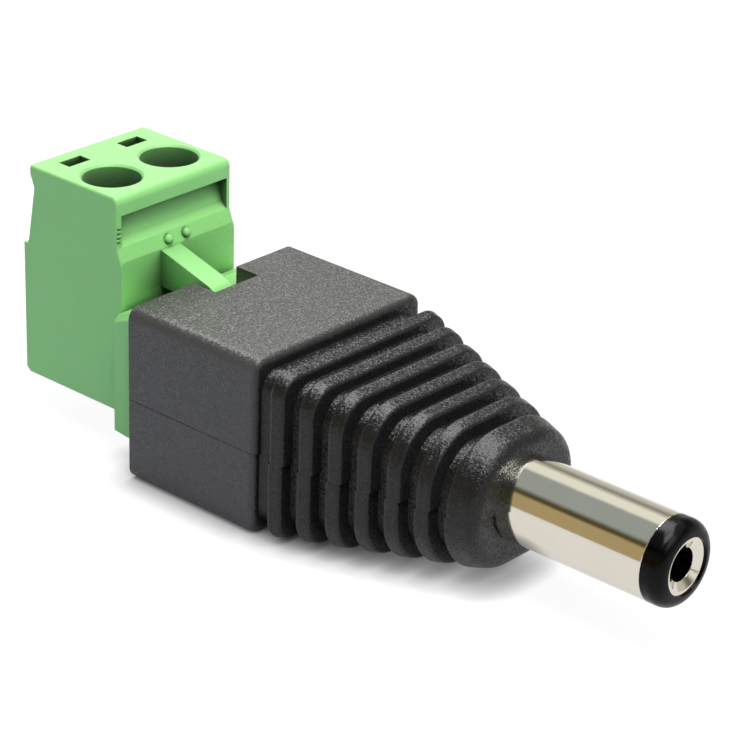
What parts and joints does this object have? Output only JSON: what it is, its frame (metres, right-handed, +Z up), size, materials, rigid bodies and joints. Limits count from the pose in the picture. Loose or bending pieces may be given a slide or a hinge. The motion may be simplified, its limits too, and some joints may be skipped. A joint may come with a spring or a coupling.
{
  "type": "dc barrel plug adapter",
  "caption": "Barrel plug for dc power in a ribbed black overmould, with a pull-off green terminal plug whose clamp screws hold two wires.",
  "frame": {"origin": "under the middle of the whole length, on the plane of the flat underside of the black block", "axes": "+X out along the barrel, +Z up, towards the side that the screws are driven from, +Y to the left when looking along +X"},
  "size_m": [0.0506, 0.0152, 0.0175],
  "materials": {
    "black_overmould": "spark-eroded grain",
    "green_polyamide": "moulded satin",
    "tinned_pin": "tin plated brass",
    "brass_lug": "stamped",
    "washer_board": "laminate",
    "nickel_sleeve": "bright nickel",
    "black_insulator": "moulded gloss",
    "nickel_contact": "bright nickel",
    "zinc_steel": "zinc plated",
    "tinned_contact": "tin plated copper alloy"
  },
  "bodies": {
    "adapter": {"overmould_body": "black_overmould", "header_housing": "green_polyamide", "header_pin_1": "tinned_pin", "header_pin_2": "tinned_pin", "sleeve_lug": "brass_lug", "centre_lug": "brass_lug", "rear_washer": "washer_board", "barrel_sleeve": "nickel_sleeve", "barrel_insulator": "black_insulator", "centre_contact": "nickel_contact"},
    "terminal_plug": {"plug_housing": "green_polyamide", "plug_contact_1": "tinned_contact", "plug_contact_2": "tinned_contact"},
    "screw_1": {"clamp_screw_1": "zinc_steel"},
    "screw_2": {"clamp_screw_2": "zinc_steel"},
    "cage_1": {"clamp_cage_1": "zinc_steel"},
    "cage_2": {"clamp_cage_2": "zinc_steel"}
  },
  "joints": [
    {"name": "plug_pull", "type": "slide", "parent": "adapter", "child": "terminal_plug", "axis": [-1, 0, 0], "range_m": [0, 0.012]},
    {"name": "screw_1_turn", "type": "hinge", "parent": "terminal_plug", "child": "screw_1", "pos_m": [-0.01964, -0.00254, 0.012], "axis": [0, 0, -1], "range_deg": [0, 1800]},
    {"name": "cage_1_lift", "type": "slide", "parent": "terminal_plug", "child": "cage_1", "axis": [0, 0, 1], "range_m": [0, 0.0025]},
    {"name": "screw_2_turn", "type": "hinge", "parent": "terminal_plug", "child": "screw_2", "pos_m": [-0.01964, 0.00254, 0.012], "axis": [0, 0, -1], "range_deg": [0, 1800]},
    {"name": "cage_2_lift", "type": "slide", "parent": "terminal_plug", "child": "cage_2", "axis": [0, 0, 1], "range_m": [0, 0.0025]}
  ],
  "couplings": [
    {"joint": "screw_1_turn", "follows": "cage_1_lift", "rad_per_m": 12566},
    {"joint": "screw_2_turn", "follows": "cage_2_lift", "rad_per_m": 12566}
  ]
}
